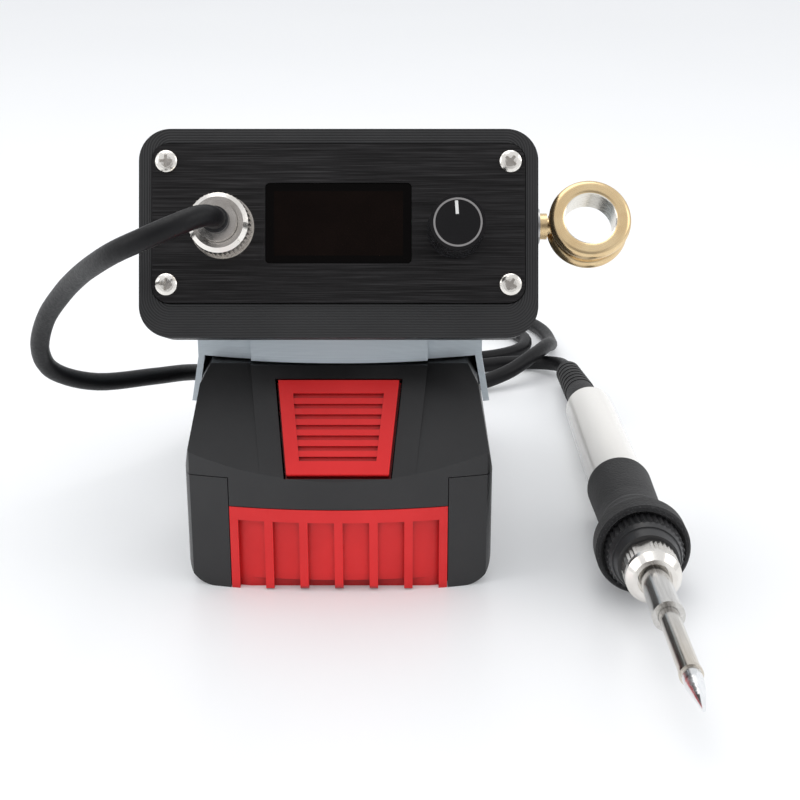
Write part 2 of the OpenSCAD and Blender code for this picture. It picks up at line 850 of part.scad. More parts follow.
module at_panel_screws() {
    for (i = [0 : 3]) on_box() translate(panel_screw_at(i) - [0, panel_front, 0]) children();
}

module housing() {
    color([0.09, 0.09, 0.1]) difference() {
        union() {
            difference() {
                box_block(0, 0);
                box_block(box_wall, ledge);
                on_box() translate([0, 0, panel_zc]) along_y(-1, ledge + 1)
                    rounded_plate(opening_w, opening_h, 3);
            }
            intersection() {
                box_block(0, 0);
                union() {
                    at_panel_screws() bar_y(boss_r, panel_back, panel_back + boss_l);
                    at_feet() translate([0, 0, adapter_top]) cylinder(r = 4, h = 8);
                }
            }
        }
        on_box() translate([0, 0, panel_zc]) along_y(-1, panel_back)
            rounded_plate(panel_w + 2 * part_gap, panel_h + 2 * part_gap, panel_r + part_gap);
        at_panel_screws() bar_y(screw_r + fit_gap, 0, panel_back + boss_l - 2);
        at_feet() translate([0, 0, adapter_top - 1]) cylinder(r = foot_r + fit_gap, h = 8);
        translate([0, channel_y, adapter_top]) block([-channel_w / 2, 0, -1], [channel_w / 2, 10, 6]);
        on_box() translate([box_w / 2 - box_wall - 2, ring_back, ring_up]) rotate([0, 90, 0])
            cylinder(r = stud_r + fit_gap, h = box_wall + 4);
    }
}

module front_panel() {
    color([0.07, 0.07, 0.07]) difference() {
        on_box() difference() {
            translate([0, 0, panel_zc]) {
                along_y(panel_front, panel_back) rounded_plate(panel_w, panel_h, panel_r);
            }
            translate([0, 0, panel_zc]) along_y(-5, 5) rounded_plate(window_w, window_h, window_r);
            translate([-socket_x, 0, socket_z]) bar_y(barrel_d / 2 + fit_gap, -5, 5);
            translate([knob_x, 0, knob_z]) bar_y(bushing_r + fit_gap, -5, 5);
        }
        at_panel_screws() bar_y(screw_r + fit_gap, -5, 5);
    }
}

// A low dome on a short rim, towards -y
module pan_head(r, h) {
    rotate([90, 0, 0]) rotate_extrude()
        polygon(concat([[0, 0], [r, 0]], [for (a = [0 : 15 : 90]) [r * cos(a), 0.6 + (h - 0.6) * sin(a)]]));
}

module panel_screws() {
    turns = [5, 0, 30, 40];
    color([0.75, 0.74, 0.72]) for (i = [0 : 3])
        on_box() translate(panel_screw_at(i)) {
            difference() {
                pan_head(screw_head_r, screw_head_h);
                translate([0, -screw_head_h, 0]) rotate([90, turns[i], 0]) cross_recess(1);
            }
            bar_y(screw_r, 0, panel_t + boss_l - 3);
        }
}

module display_window() {
    color([0.02, 0.02, 0.02]) on_box() translate([0, 0, panel_zc]) along_y(panel_front + 0.35, panel_back)
        rounded_plate(window_w - 0.2, window_h - 0.2, window_r - 0.1);
}

module display_module() {
    color([0.05, 0.15, 0.3]) on_box() translate([0, 0, panel_zc])
        block([-17, panel_back + 0.3, -15], [17, panel_back + 3.4, 15]);
}

module control_board() {
    color([0.05, 0.25, 0.12]) on_box()
        translate([board_x[0], board_y, panel_zc - board_h / 2])
            cube([board_x[1] - board_x[0], board_t, board_h]);
}

// The larger parts on the back of the board: controller, coil, capacitors and terminals
module board_parts() {
    back = board_y + board_t;
    color([0.15, 0.15, 0.16]) on_box() translate([0, back, panel_zc]) {
        block([0, 0, -5], [10, 1.4, 5]);
        block([16, 0, 2], [26, 5, 12]);
        for (x = [-12, -4]) translate([x, 0, 9]) bar_y(3, 0, 8);
        block([14, 0, -13], [30, 7, -5]);
    }
}

// Two leads from the contact blades through the channel to the board
module power_leads() {
    color([0.7, 0.1, 0.1]) for (s = [-1, 1]) {
        level = duct_z + duct_h / 2;
        start = [s * 5, carrier_y - carrier_l / 2 - wire_d / 2 - 0.3, level];
        turn = [s * 5, channel_y + 4, level];
        rise = [s * 5, channel_y + 4, adapter_top + 9];
        wire(start, turn, wire_d);
        wire(turn, rise, wire_d);
        wire(rise, box_point(22 + s * 3, board_y + board_t + 8.2, panel_zc - 9), wire_d);
    }
}

// ---------- Knob ----------

module at_knob() {
    on_box() translate([knob_x, 0, knob_z]) children();
}

module encoder_body() {
    color([0.55, 0.56, 0.58]) at_knob() difference() {
        union() {
            translate([-encoder_w / 2, encoder_front, -encoder_w / 2])
                cube([encoder_w, board_y - 0.1 - encoder_front, encoder_w]);
            bar_y(bushing_r, bushing_front, encoder_front + 1);
        }
        bar_y(shaft_d / 2 + fit_gap, bushing_front - 1, board_y - 1);
        bar_y(rotor_r + 0.3, encoder_front + 2, encoder_front + 2.6 + rotor_t + knob_travel);
    }
}

module encoder_nut() {
    color([0.7, 0.7, 0.7]) at_knob() difference() {
        translate([0, panel_front, 0]) rotate([90, 0, 0]) cylinder(r = 5, h = 2, $fn = 6);
        bar_y(bushing_r + fit_gap, -10, 5);
    }
}

module encoder_rotor() {
    color([0.85, 0.85, 0.8]) at_knob() translate([0, encoder_front + 2.3, 0]) difference() {
        bar_y(rotor_r, 0, rotor_t);
        bar_y(shaft_d / 2 + fit_gap, -1, rotor_t + 1);
    }
}

module encoder_shaft() {
    color([0.7, 0.7, 0.72]) at_knob() bar_y(shaft_d / 2, knob_front + 3, encoder_front + 4.8);
}

// Skirted knob with a shallow seat for its ring and face
module knob() {
    r = knob_d / 2;
    color([0.05, 0.05, 0.05]) at_knob() difference() {
        union() {
            bar_y(r, knob_front, knob_back);
            translate([0, knob_back, 0]) rotate([90, 0, 0]) cylinder(r1 = r + 0.5, r2 = r, h = 3);
        }
        bar_y(shaft_d / 2 + fit_gap, knob_front + 2.9, knob_back + 1);
        bar_y(r - 0.7, knob_front - 1, knob_front + 0.8);
        bar_y(bushing_r + 1.8, knob_back - 2, knob_back + 1);
    }
}

module knob_ring() {
    r = knob_d / 2 - 0.7;
    color([0.85, 0.85, 0.86]) at_knob() difference() {
        bar_y(r - 0.02, knob_front - 0.15, knob_front + 0.78);
        bar_y(r - 0.45, knob_front - 1, knob_front + 2);
    }
}

module knob_face() {
    r = knob_d / 2 - 1.17;
    color([0.02, 0.02, 0.02]) at_knob() difference() {
        bar_y(r, knob_front - 0.05, knob_front + 0.78);
        pointer_block(0.02, knob_front + 0.3);
    }
}

module pointer_block(gap, back) {
    r = knob_d / 2 - 1.17;
    w = pointer_w / 2 + gap;
    rotate([0, -4, 0]) block([-w, knob_front - 0.08 - gap, r - 3.2 - gap], [w, back, r - 0.2 + gap]);
}

module knob_pointer() {
    color([0.95, 0.95, 0.95]) at_knob() pointer_block(0, knob_front + 0.28);
}

// ---------- Socket and plug ----------

module at_socket() {
    on_box() translate([-socket_x, 0, socket_z]) children();
}

module socket_shell() {
    color([0.72, 0.72, 0.7]) at_socket() difference() {
        union() {
            bar_y(barrel_d / 2, barrel_front, panel_back + 7);
            bar_y(coupling_d / 2 + 0.4, coupling_back + 0.4, panel_front);
        }
        bar_y(barrel_d / 2 - 1.2, barrel_front - 1, panel_back + 8);
    }
}

module socket_nut() {
    color([0.7, 0.7, 0.68]) at_socket() difference() {
        translate([0, panel_back + 2.6, 0]) rotate([90, 0, 0]) cylinder(r = 8.2, h = 2.5, $fn = 6);
        bar_y(barrel_d / 2 + fit_gap, -5, 10);
    }
}

module socket_insert() {
    color([0.1, 0.1, 0.1]) at_socket() difference() {
        bar_y(barrel_d / 2 - 1.25, panel_back - 1, panel_back + 4);
        at_pins() bar_y(0.55, -5, 12);
    }
}

module at_pins() {
    for (i = [0 : 4]) rotate([0, 72 * i, 0]) translate([2.8, 0, 0]) children();
}

module socket_pins() {
    color([0.85, 0.7, 0.4]) at_socket() at_pins() bar_y(0.5, barrel_front + 3.5, panel_back + 8);
}

// Knurled ring that screws over the socket's barrel
module coupling_ring() {
    color([0.75, 0.74, 0.71]) at_socket() difference() {
        union() {
            translate([0, coupling_back, 0]) rotate([90, 0, 0])
                knurled(coupling_d / 2, 0.35, 40, coupling_l - 1.2);
            translate([0, coupling_front + 1.2, 0]) rotate([90, 0, 0])
                cylinder(r1 = coupling_d / 2 - 0.2, r2 = coupling_d / 2 - 1.2, h = 1.2);
        }
        bar_y(barrel_d / 2 + 0.08, barrel_front - 0.6, coupling_back + 1);
        bar_y(collar_d / 2 + 0.08, coupling_front - 1, coupling_back);
    }
}

module plug_shell() {
    color([0.72, 0.72, 0.7]) at_socket() difference() {
        union() {
            bar_y(barrel_d / 2 - 1.3, barrel_front + 0.6, panel_front - 0.5);
            bar_y(collar_d / 2, coupling_front - collar_l, barrel_front + 0.6);
        }
        bar_y(3.9, barrel_front + 2, panel_front + 1);
        bar_y(gland_d / 2 - 0.4, coupling_front - collar_l - 1, coupling_front - collar_l + 1.2);
    }
}

module plug_gland() {
    color([0.2, 0.2, 0.2]) at_socket()
        bar_y(gland_d / 2 - 0.45, plug_end, coupling_front - collar_l + 1.1);
}

// ---------- Iron holder ----------

module at_ring() {
    on_box() translate([ring_x, ring_back, ring_up]) rotate([box_lean - ring_slope, 0, 0]) children();
}

// Brass ring with a rounded lip at each end
module holder_ring() {
    wall = ring_d / 2 - ring_hole_d / 2;
    color([0.78, 0.6, 0.3]) at_ring()
    translate([0, ring_l / 2 - ring_ahead, 0]) rotate([90, 0, 0]) difference() {
        rotate_extrude() {
            translate([ring_hole_d / 2, lip_r]) square([wall - 1.1, ring_l - 2 * lip_r]);
            for (z = [lip_r, ring_l - lip_r]) {
                translate([ring_d / 2 - lip_r, z]) circle(lip_r);
                translate([ring_hole_d / 2 + 1, z - lip_r]) square([wall - 1 - lip_r, 2 * lip_r]);
                translate([ring_hole_d / 2 + 1, z]) intersection() {
                    scale(lip_r) circle(1);
                    translate([-1, -lip_r]) square([2, 2 * lip_r]);
                }
            }
        }
        translate([0, 0, -1]) cylinder(d = ring_hole_d, h = ring_l + 2);
        translate([0, 0, ring_l / 2 - ring_ahead]) rotate([0, -90, 0])
            cylinder(r = stud_r + fit_gap, h = ring_d / 2 + 1);
    }
}

module holder_stud() {
    inside = ring_x - ring_hole_d / 2 - 0.4;
    color([0.78, 0.6, 0.3]) on_box() translate([0, ring_back, ring_up]) rotate([0, 90, 0]) {
        translate([0, 0, box_w / 2 - box_wall - 4])
            cylinder(r = stud_r, h = inside - box_w / 2 + box_wall + 4);
        translate([0, 0, box_w / 2 + washer_t + 0.1])
            cylinder(r = neck_r, h = ring_gap - washer_t - 0.25);
    }
}

module holder_washer() {
    color([0.65, 0.65, 0.66]) on_box() translate([box_w / 2, ring_back, ring_up]) rotate([0, 90, 0])
        difference() {
            cylinder(r = washer_r, h = washer_t);
            translate([0, 0, -1]) cylinder(r = stud_r + fit_gap, h = washer_t + 2);
        }
}

module holder_nut() {
    color([0.7, 0.7, 0.7]) on_box() translate([box_w / 2 - box_wall - 3.3, ring_back, ring_up])
        rotate([0, 90, 0]) difference() {
            cylinder(r = 4, h = 3, $fn = 6);
            translate([0, 0, -1]) cylinder(r = stud_r + 0.01, h = 5);
        }
}

// ---------- Iron ----------

// White tube: tapered where it shows, straight under the grip
module handle() {
    rear = handle_rear_d / 2;
    front = handle_front_d / 2;
    under = handle_l + 0.1;
    color([0.93, 0.92, 0.88]) on_iron() rotate_extrude() {
        polygon([
            [rear - handle_wall, 1], [rear - 1.2, 0.3], [rear - 0.4, 0.5], [rear, 1.4], [front, under],
            [core_r, under], [core_r, grip_end - 1.6], [core_r - handle_wall, grip_end - 1.6],
            [core_r - handle_wall, handle_l - 8], [rear - handle_wall, 12]
        ]);
    }
}

// Terminal block inside the handle that the tip's cartridge plugs into
module handle_core() {
    r = core_r - handle_wall - 0.1;
    color([0.2, 0.2, 0.2]) on_iron() difference() {
        translate([0, 0, handle_l + 4]) cylinder(r = r, h = grip_end - handle_l - 6);
        translate([0, 0, handle_l + 20]) cylinder(d = tip_d + 0.3, h = grip_l);
    }
}

module grip() {
    r = grip_d / 2;
    guard_r = guard_d / 2;
    z0 = handle_l + 0.4;
    z1 = grip_end;
    color([0.13, 0.13, 0.14]) on_iron() rotate_extrude() difference() {
        polygon(concat(
            [[core_r + 0.02, z0]],
            [for (a = [-90 : 15 : 0]) [r - 1.6 + 1.6 * cos(a), z0 + 1.6 + 1.6 * sin(a)]],
            [[r - 0.5, z0 + 22], [r - 0.3, z1 - 17]],
            [for (a = [0 : 10 : 60]) [r + 0.2 + 4 * (1 - cos(a)), z1 - 15 + 7 * sin(a) / sin(60)]],
            [[guard_r, z1 - 6], [guard_r, z1 - 0.8], [guard_r - 0.5, z1 - 0.2], [guard_r - 1.2, z1]],
            [[guard_r - 2, z1 - 1.5], [core_r + 0.02, z1 - 1.5]]
        ));
    }
}

// Black screw collar: a toothed ring, a cone and a seat for the nut
module grip_collar() {
    color([0.08, 0.08, 0.08]) on_iron() difference() {
        union() {
            translate([0, 0, grip_end - 1.4]) knurled(teeth_r, 0.6, 38, 5);
            translate([0, 0, grip_end + 3.6]) cylinder(r1 = teeth_r - 0.5, r2 = teeth_r - 1.1, h = 1.6);
            translate([0, 0, grip_end + 5.2]) cylinder(r1 = teeth_r - 1.4, r2 = nut_d / 2 + 0.7, h = 3);
        }
        translate([0, 0, grip_end - 2]) cylinder(r = sleeve_d / 2 + 0.1, h = 40);
    }
}

// Nickel nut with knurled bands and a round shoulder
module clamping_nut() {
    r = nut_d / 2;
    color([0.78, 0.76, 0.7]) on_iron() translate([0, 0, nut_back]) difference() {
        union() {
            rotate([0, 0, 20]) intersection() {
                knurled(r, 0.35, 36, nut_l - 3.4);
                translate([0, 0, nut_l / 2]) cube([2 * r, 2 * r - 1.1, nut_l], center = true);
            }
            translate([0, 0, nut_l - 3.5]) cylinder(r = r - 0.1, h = 1.6);
            translate([0, 0, nut_l - 1.9]) cylinder(r1 = r - 0.1, r2 = r - 1.6, h = 1.9);
        }
        translate([0, 0, -1]) cylinder(r = sleeve_d / 2 + 0.08, h = nut_l + 2);
        translate([0, 0, nut_l - 2.5]) cylinder(r = sleeve_d / 2 + 0.6, h = 3);
    }
}

module tip_sleeve() {
    r = sleeve_d / 2;
    color([0.72, 0.7, 0.66]) on_iron() difference() {
        union() {
            translate([0, 0, grip_end]) cylinder(r = r, h = sleeve_end - grip_end);
            translate([0, 0, sleeve_end - 1.4]) cylinder(r = r + 0.2, h = 1.4);
        }
        translate([0, 0, grip_end - 1]) cylinder(r = tip_d / 2 + fit_gap, h = big);
    }
}

module tip_shaft() {
    r = tip_d / 2;
    color([0.7, 0.69, 0.66]) on_iron() difference() {
        union() {
            translate([0, 0, handle_l + 21]) cylinder(r = r, h = shaft_end - handle_l - 21);
            translate([0, 0, shaft_end - 1.3]) cylinder(r = r + 0.2, h = 1.2);
        }
        translate([0, 0, handle_l + 20]) cylinder(r = r - 0.5, h = shaft_end - handle_l - 24);
    }
}

// Tinned end: a cone cut to a slanted flat
module tip_bit() {
    r = tip_d / 2 - 0.25;
    color([0.85, 0.86, 0.87]) on_iron() difference() {
        translate([0, 0, shaft_end]) {
            cylinder(r = r, h = 3.5);
            translate([0, 0, 3.5]) cylinder(r1 = r, r2 = 0.55, h = bit_l - 3.5);
        }
        rotate([0, 0, -50]) translate([-5, -0.1, bit_end]) rotate([9, 0, 0])
            translate([0, 0, -bit_l]) cube([10, 10, bit_l + 5]);
    }
}

module tip_heater() {
    color([0.9, 0.88, 0.84]) on_iron() translate([0, 0, handle_l + 24])
        cylinder(r = tip_d / 2 - 0.6, h = shaft_end - handle_l - 29);
}

// Ribbed, tapered strain relief, bent a little away from the iron's axis
module boot() {
    grow = (boot_root_r - 0.4 - boot_end_r) / (boot_l - 1.2);
    color([0.1, 0.1, 0.1]) on_iron() {
        rotate([0, boot_yaw, 0]) translate([0, 0, -boot_l]) {
            cylinder(r1 = boot_end_r - 1, r2 = boot_end_r, h = 1.2);
            translate([0, 0, 1.2]) cylinder(r1 = boot_end_r, r2 = boot_root_r - 0.4, h = boot_l - 1.2);
            for (i = [0 : boot_ribs - 1])
                translate([0, 0, 3 + i * 3.6]) cylinder(r = boot_end_r + 0.3 + grow * (3 + i * 3.6), h = 2);
        }
        sphere(r = boot_root_r);
        cylinder(r = boot_root_r - 0.8, h = 9);
    }
}

// ---------- Cord ----------

// A point on the smooth curve through a, b, c and d, from b at u = 0 to c at u = 1
function curve(a, b, c, d, u) = 0.5 * (2 * b + (c - a) * u + (2 * a - 5 * b + 4 * c - d) * u * u
    + (3 * b - a - 3 * c + d) * u * u * u);

function smooth(p) = let (n = len(p) - 1) concat(
    [p[0], p[1]],
    [for (i = [1 : n - 2], u = [0.5, 1]) if (u == 1 || norm(p[i + 1] - p[i]) > 15)
        curve(p[i - 1], p[i], p[i + 1], p[i + 2], u)],
    [p[n]]
);

// Each ring lies square to the line through its neighbours; the two end rings lie in the end faces
function ring_way(p, i, first, last) = i == 0 ? first : i == len(p) - 1 ? last : p[i + 1] - p[i - 1];

function ring(centre, way) = let (
    w = way / norm(way),
    side = cross(w, [0, 0, 1]),
    s = side / norm(side),
    up = cross(s, w)
) [for (k = [0 : cord_sides - 1]) let (a = 360 * k / cord_sides)
    centre + cord_d / 2 * (cos(a) * s + sin(a) * up)];

module cord() {
    path = smooth(cord_route);
    n = len(path);
    rings = [for (i = [0 : n - 1]) each ring(path[i], ring_way(path, i, plug_way, -boot_way))];
    walls = [for (i = [0 : n - 2], k = [0 : cord_sides - 1]) let (m = (k + 1) % cord_sides)
        [i * cord_sides + k, i * cord_sides + m, (i + 1) * cord_sides + m, (i + 1) * cord_sides + k]];
    first = [for (k = [cord_sides - 1 : -1 : 0]) k];
    last = [for (k = [0 : cord_sides - 1]) (n - 1) * cord_sides + k];
    color([0.07, 0.07, 0.07]) polyhedron(rings, concat([first], walls, [last]));
}

pack_tub();
pack_lid();
bumper();
release_button();
latch_leaf();
pack_screws();
cells();
cell_links();
cell_frame();
pack_board();
terminal_clips();
adapter();
contact_blades();
contact_carrier();
contact_cover();
cover_screws();
foot_screws();
housing();
front_panel();
panel_screws();
display_window();
display_module();
control_board();
board_parts();
power_leads();
encoder_body();
encoder_nut();
encoder_rotor();
encoder_shaft();
knob();
knob_ring();
knob_face();
knob_pointer();
socket_shell();
socket_nut();
socket_insert();
socket_pins();
coupling_ring();
plug_shell();
plug_gland();
holder_ring();
holder_stud();
holder_washer();
holder_nut();
handle();
handle_core();
grip();
grip_collar();
clamping_nut();
tip_sleeve();
tip_shaft();
tip_bit();
tip_heater();
boot();
cord();
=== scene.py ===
"""The looks of a soldering station.

A tilted control box stands on a battery pack, with its corded iron and its holder ring beside it.
"""

import json
import math

import bmesh
import bpy
from mathutils import Euler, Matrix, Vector, kdtree
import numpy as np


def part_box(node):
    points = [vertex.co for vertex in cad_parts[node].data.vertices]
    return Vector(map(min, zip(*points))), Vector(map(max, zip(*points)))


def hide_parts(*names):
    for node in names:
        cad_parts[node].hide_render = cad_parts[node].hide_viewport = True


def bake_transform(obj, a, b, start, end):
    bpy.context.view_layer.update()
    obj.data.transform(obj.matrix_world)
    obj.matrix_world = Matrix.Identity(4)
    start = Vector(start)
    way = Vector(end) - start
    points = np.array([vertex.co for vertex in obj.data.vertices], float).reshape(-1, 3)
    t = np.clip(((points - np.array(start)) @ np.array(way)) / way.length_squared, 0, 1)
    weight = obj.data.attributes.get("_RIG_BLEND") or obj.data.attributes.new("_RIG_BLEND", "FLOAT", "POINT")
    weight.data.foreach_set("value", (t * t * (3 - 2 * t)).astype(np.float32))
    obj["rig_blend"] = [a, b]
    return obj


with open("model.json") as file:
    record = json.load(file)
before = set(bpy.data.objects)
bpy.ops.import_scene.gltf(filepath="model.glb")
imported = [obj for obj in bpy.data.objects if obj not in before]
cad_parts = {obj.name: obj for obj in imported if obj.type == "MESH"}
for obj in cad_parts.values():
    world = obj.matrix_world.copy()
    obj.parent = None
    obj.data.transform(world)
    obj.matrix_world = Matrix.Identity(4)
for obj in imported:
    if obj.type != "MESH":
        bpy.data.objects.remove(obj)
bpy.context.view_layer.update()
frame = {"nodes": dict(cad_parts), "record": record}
cad = frame["nodes"]
MM = 0.001


def middle_of(name):
    """The middle of a CAD node's box."""
    low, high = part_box(name)
    return (low + high) / 2


# ---------- Frames of the box, the ring and the iron ----------

BOX_LEAN = math.radians(20)
BOX_INTO = Vector((0, math.cos(BOX_LEAN), -math.sin(BOX_LEAN)))
BOX_TURN = (BOX_LEAN, 0, 0)
PANEL_MIDDLE = middle_of("front_panel")
HOUSING_HALF_HEIGHT = 24.7 * MM
HOUSING_CORNER = 7.5 * MM
DISPLAY_HALF_WIDTH = 15.2 * MM
DISPLAY_HALF_HEIGHT = 7.6 * MM

RING_MIDDLE = middle_of("holder_ring")
RING_SLOPE = math.radians(33)
RING_WAY = Vector((0, -math.cos(RING_SLOPE), math.sin(RING_SLOPE)))
RING_BORE = 6.25 * MM

IRON_PITCH = math.radians(2.301)
IRON_WAY = Vector((0, -math.cos(IRON_PITCH), math.sin(IRON_PITCH)))
IRON_REAR = Vector((74.8, 56, 7.32)) * MM
BOOT_YAW = math.radians(3.5)
BOOT_LENGTH = 42 * MM
HEAT_TINT_FROM = 150 * MM
HEAT_TINT_TO = 178 * MM

# ---------- Camera ----------

CAMERA_AT = Vector((0.0151, -0.403, 0.1742))
CAMERA_DOWN = math.radians(19.7)
CAMERA_LENS = 69.43
SENSOR_WIDTH = 36


def set_camera():
    """The one camera, level from side to side and looking down a little."""
    data = bpy.data.cameras.new("front_camera")
    data.lens = CAMERA_LENS
    data.sensor_width = SENSOR_WIDTH
    data.clip_start = 0.01
    camera = bpy.data.objects.new("front_camera", data)
    camera.location = CAMERA_AT
    camera.rotation_euler = Euler((math.pi / 2 - CAMERA_DOWN, 0, 0))
    bpy.context.scene.collection.objects.link(camera)
    bpy.context.scene.camera = camera


# ---------- Cord ----------

CORD_WIDTH = 5 * MM
CORD_LAY = [
    (-28.7, -71.7, 98.3), (-33.4, -76.3, 97.4), (-40.1, -78, 94.8), (-47.1, -74.1, 91),
    (-53.4, -65, 86), (-60.3, -51.4, 79.4), (-67.9, -37.2, 71), (-75.7, -24, 60.4), (-80.4, -13, 48.6),
    (-79, -4, 39.5), (-70, 8, 32.5), (-57, 24.5, 28.5), (-49, 40, 24.5), (-43, 56.5, 18.5),
    (-35, 72, 10.5), (-21, 84, 4.5), (-2, 89.5, 2.5), (20, 90, 2.5), (38, 91.5, 2.5), (51, 96.5, 5),
    (60.5, 105, 8.2), (67, 118, 8.2), (70, 136, 3.5), (67.5, 158, 2.5), (55, 177, 2.5), (33, 184, 2.5),
    (10, 179, 2.5), (-5, 164, 2.5), (-6.5, 145, 2.5), (5, 130, 2.5), (24, 122, 2.5), (43, 120.8, 2.5),
    (57.5, 129.5, 2.5), (61, 144, 2.5), (52, 158, 2.5), (34, 163, 2.5), (15, 155, 2.7),
    (6.5, 139.7, 5), (10.2, 125.1, 8.4), (23, 116.2, 5), (40, 113, 2.5), (52, 115.2, 2.5),
    (62.7, 115.2, 2.8), (70, 108.2, 4.5),
]
CORD_STEPS = 6
GLAND_HALF = 1 * MM
STRAIGHT_AT_PLUG = 4.5 * MM
STRAIGHT_AT_BOOT = 3.5 * MM
LEAD_LENGTH = 85 * MM
LEAD_FIXED_IN_BOOT = 6 * MM


def smooth_line(points, steps):
    """Points on a smooth curve through the given ones."""
    line = []
    last = len(points) - 1
    for i in range(last):
        a = points[max(i - 1, 0)]
        b, c = points[i], points[i + 1]
        d = points[min(i + 2, last)]
        for step in range(steps):
            u = step / steps
            line.append(0.5 * (2 * b + (c - a) * u + (2 * a - 5 * b + 4 * c - d) * u**2
                               + (3 * b - a - 3 * c + d) * u**3))
    return line + [points[last]]


def line_lengths(line):
    """The distance along the line to each of its points."""
    run = [0.0]
    for a, b in zip(line, line[1:]):
        run.append(run[-1] + (b - a).length)
    return run


def make_tube(name, line, width):
    """A round tube along the line, closed at both ends, as a mesh object."""
    data = bpy.data.curves.new(name + "_line", "CURVE")
    data.dimensions = "3D"
    data.bevel_depth = width / 2
    data.bevel_resolution = 5
    data.use_fill_caps = True
    spline = data.splines.new("POLY")
    spline.points.add(len(line) - 1)
    for point, spot in zip(spline.points, line):
        point.co = (*spot, 1)
    curve = bpy.data.objects.new(name + "_line", data)
    mesh = bpy.data.meshes.new_from_object(curve)
    bpy.data.objects.remove(curve)
    shape = bmesh.new()
    shape.from_mesh(mesh)
    bmesh.ops.remove_doubles(shape, verts=shape.verts, dist=1e-6)
    bmesh.ops.recalc_face_normals(shape, faces=shape.faces)
    for face in shape.faces:
        face.smooth = len(face.verts) == 4
    shape.to_mesh(mesh)
    shape.free()
    mesh.name = name
    tube = bpy.data.objects.new(name, mesh)
    bpy.context.scene.collection.objects.link(tube)
    return tube


def make_cord():
    """The cord from the plug's gland, round behind the pack and back to the iron's boot."""
    plug_end = middle_of("plug_gland") - BOX_INTO * GLAND_HALF
    boot_way = Vector((-math.sin(BOOT_YAW), 0, 0)) - IRON_WAY * math.cos(BOOT_YAW)
    boot_end = IRON_REAR + boot_way * BOOT_LENGTH
    lay = [Vector(spot) * MM for spot in CORD_LAY]
    out_of_plug = plug_end - BOX_INTO * STRAIGHT_AT_PLUG
    into_boot = boot_end + boot_way * STRAIGHT_AT_BOOT
    stops = [plug_end, out_of_plug, *lay, into_boot, boot_end]
    line = smooth_line(stops, CORD_STEPS)
    run = line_lengths(line)
    cord = make_tube("iron_cord", line, CORD_WIDTH)
    lead_start = max(i for i, length in enumerate(run) if length < run[-1] - LEAD_LENGTH)
    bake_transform(cord, "station", "iron", start=line[lead_start], end=line[-1])
    follow_the_lead(cord, line, run)
    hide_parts("cord")
    return cord


def follow_the_lead(cord, line, run):
    """Only the last stretch of the cord rises with the iron, by its length along the cord."""
    near = kdtree.KDTree(len(line))
    for i, spot in enumerate(line):
        near.insert(spot, i)
    near.balance()
    lead_start = run[-1] - LEAD_LENGTH
    share = cord.data.attributes["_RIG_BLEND"]
    for vertex in cord.data.vertices:
        along = run[near.find(vertex.co)[1]]
        t = min(max((along - lead_start) / (LEAD_LENGTH - LEAD_FIXED_IN_BOOT), 0), 1)
        share.data[vertex.index].value = t * t * (3 - 2 * t)


# ---------- Node helpers ----------


def node(tree, kind, inputs=(), **settings):
    """A node with its settings, its fixed inputs and its linked inputs."""
    made = tree.nodes.new(kind)
    for name, value in settings.items():
        setattr(made, name, value)
    for key, value in dict(inputs).items():
        if isinstance(value, bpy.types.NodeSocket):
            tree.links.new(value, made.inputs[key])
        else:
            made.inputs[key].default_value = value
    return made


def start_material(name, roughness, metallic=0.0, specular=0.5):
    """A material with its shader; returns the material, its tree and the shader."""
    material = bpy.data.materials.new(name)
    material.use_nodes = True
    tree = material.node_tree
    shader = tree.nodes["Principled BSDF"]
    shader.inputs["Roughness"].default_value = roughness
    shader.inputs["Metallic"].default_value = metallic
    shader.inputs["Specular IOR Level"].default_value = specular
    return material, tree, shader


def vector_node(tree, operation, a, b):
    """One step of arithmetic on vectors that gives a vector."""
    return node(tree, "ShaderNodeVectorMath", {0: a, 1: b}, operation=operation).outputs[0]


def dot_node(tree, a, b):
    """How far one vector goes along another."""
    return node(tree, "ShaderNodeVectorMath", {0: a, 1: b}, operation="DOT_PRODUCT").outputs[1]


def length_node(tree, vector):
    """The vector's length."""
    return node(tree, "ShaderNodeVectorMath", {0: vector}, operation="LENGTH").outputs[1]


def place(tree, scale=(1, 1, 1), turn=(0, 0, 0), centre=(0, 0, 0)):
    """Object coordinates from the centre, turned, then scaled."""
    coords = node(tree, "ShaderNodeTexCoord").outputs["Object"]
    moved = vector_node(tree, "SUBTRACT", coords, tuple(centre))
    turned = node(tree, "ShaderNodeMapping", {"Vector": moved, "Rotation": turn}).outputs[0]
    return vector_node(tree, "MULTIPLY", turned, scale)


def noise(tree, vector, scale, detail=3.0, rough=0.5):
    """Noise from 0 to 1."""
    inputs = {"Vector": vector, "Scale": scale, "Detail": detail, "Roughness": rough}
    return node(tree, "ShaderNodeTexNoise", inputs).outputs[0]


def math_node(tree, operation, a, b=0.0):
    """One step of arithmetic."""
    return node(tree, "ShaderNodeMath", {0: a, 1: b}, operation=operation).outputs[0]


def mixture(tree, first, first_share, second):
    """Two values added in shares that make one."""
    part = math_node(tree, "MULTIPLY", first, first_share)
    rest = math_node(tree, "MULTIPLY", second, round(1 - first_share, 6))
    return math_node(tree, "ADD", part, rest)


def spread(tree, value, low, high, to_low=0.0, to_high=1.0):
    """The value's range low to high, stretched to another range and held there."""
    inputs = {"Value": value, "From Min": low, "From Max": high, "To Min": to_low, "To Max": to_high}
    return node(tree, "ShaderNodeMapRange", inputs).outputs[0]


